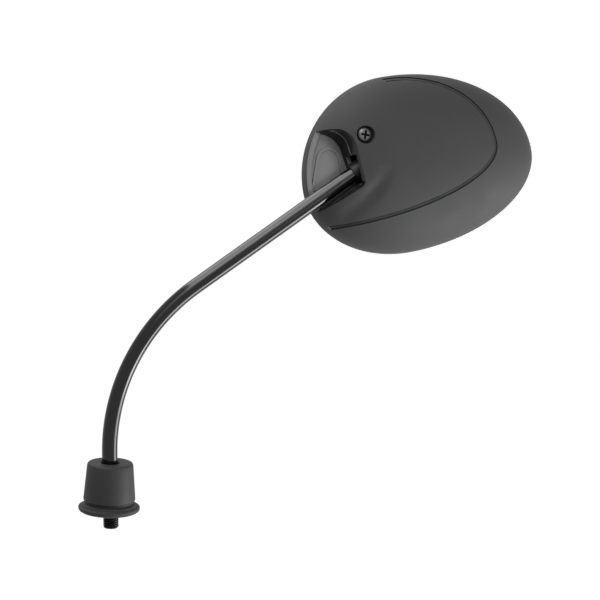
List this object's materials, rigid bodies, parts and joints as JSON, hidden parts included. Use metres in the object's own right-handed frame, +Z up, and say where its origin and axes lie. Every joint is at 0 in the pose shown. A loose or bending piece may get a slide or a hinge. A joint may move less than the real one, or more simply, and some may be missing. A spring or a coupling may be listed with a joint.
{
  "type": "scooter rear-view mirror",
  "caption": "Egg-shaped rear-view mirror head with convex glass, on a ball joint at the end of a bent black rod with a threaded foot and a rubber boot.",
  "frame": {"origin": "on the threaded stud's axis, at the underside of the rubber boot", "axes": "+Z up the stud and the foot of the rod, +X the way the rod bends, -Y out of the back of the head, +Y out of the glass"},
  "size_m": [0.3096, 0.0502, 0.2817],
  "materials": {
    "stem_paint": "gloss black paint on bent steel rod",
    "zinc_dark": "black zinc plate",
    "boot_rubber": "matte moulded rubber",
    "seal_rubber": "matte moulded rubber",
    "acetal": "natural acetal",
    "zinc": "bright zinc plate",
    "spring_steel": "oiled spring steel",
    "frame_plastic": "fine-grained black plastic, smooth in the pocket",
    "cover_plastic": "fine-grained black plastic",
    "black_screw": "black coated steel",
    "carrier_plastic": "plain black plastic",
    "foam": "closed-cell foam with adhesive on both faces",
    "mirror": "silvered convex glass"
  },
  "bodies": {
    "stem": {"stem": "stem_paint", "lock_nut": "zinc_dark"},
    "boot": {"boot": "boot_rubber"},
    "shutter": {"rod_shutter": "seal_rubber"},
    "seats": {"seat_front": "acetal", "seat_rear": "acetal"},
    "head": {"clamp_plate_front": "zinc", "clamp_plate_rear": "zinc", "clamp_screw_upper": "zinc", "clamp_screw_lower": "zinc", "disc_spring_upper": "spring_steel", "disc_spring_lower": "spring_steel", "clamp_nut_upper": "zinc", "clamp_nut_lower": "zinc", "bracket_screw_upper": "zinc", "bracket_screw_lower": "zinc", "bracket_screw_end": "zinc", "rim_frame": "frame_plastic", "back_cover": "cover_plastic", "cover_screw": "black_screw", "glass_carrier": "carrier_plastic", "foam_pad": "foam", "mirror_glass": "mirror"}
  },
  "joints": [
    {"name": "boot_slide", "type": "slide", "parent": "stem", "child": "boot", "axis": [0, 0, 1], "range_m": [0, 0.01]},
    {"name": "head_twist", "type": "hinge", "parent": "stem", "child": "shutter", "pos_m": [0.17769, 0, 0.22126], "axis": [0.8387, 0, 0.5446], "range_deg": [-45, 45]},
    {"name": "head_tilt", "type": "hinge", "parent": "shutter", "child": "seats", "pos_m": [0.17769, 0, 0.22126], "axis": [0.5399, -0.1317, -0.8314], "range_deg": [-2, 11]},
    {"name": "head_swing", "type": "hinge", "parent": "seats", "child": "head", "pos_m": [0.17769, 0, 0.22126], "axis": [0, -0.9877, 0.1564], "range_deg": [-1, 11]}
  ]
}
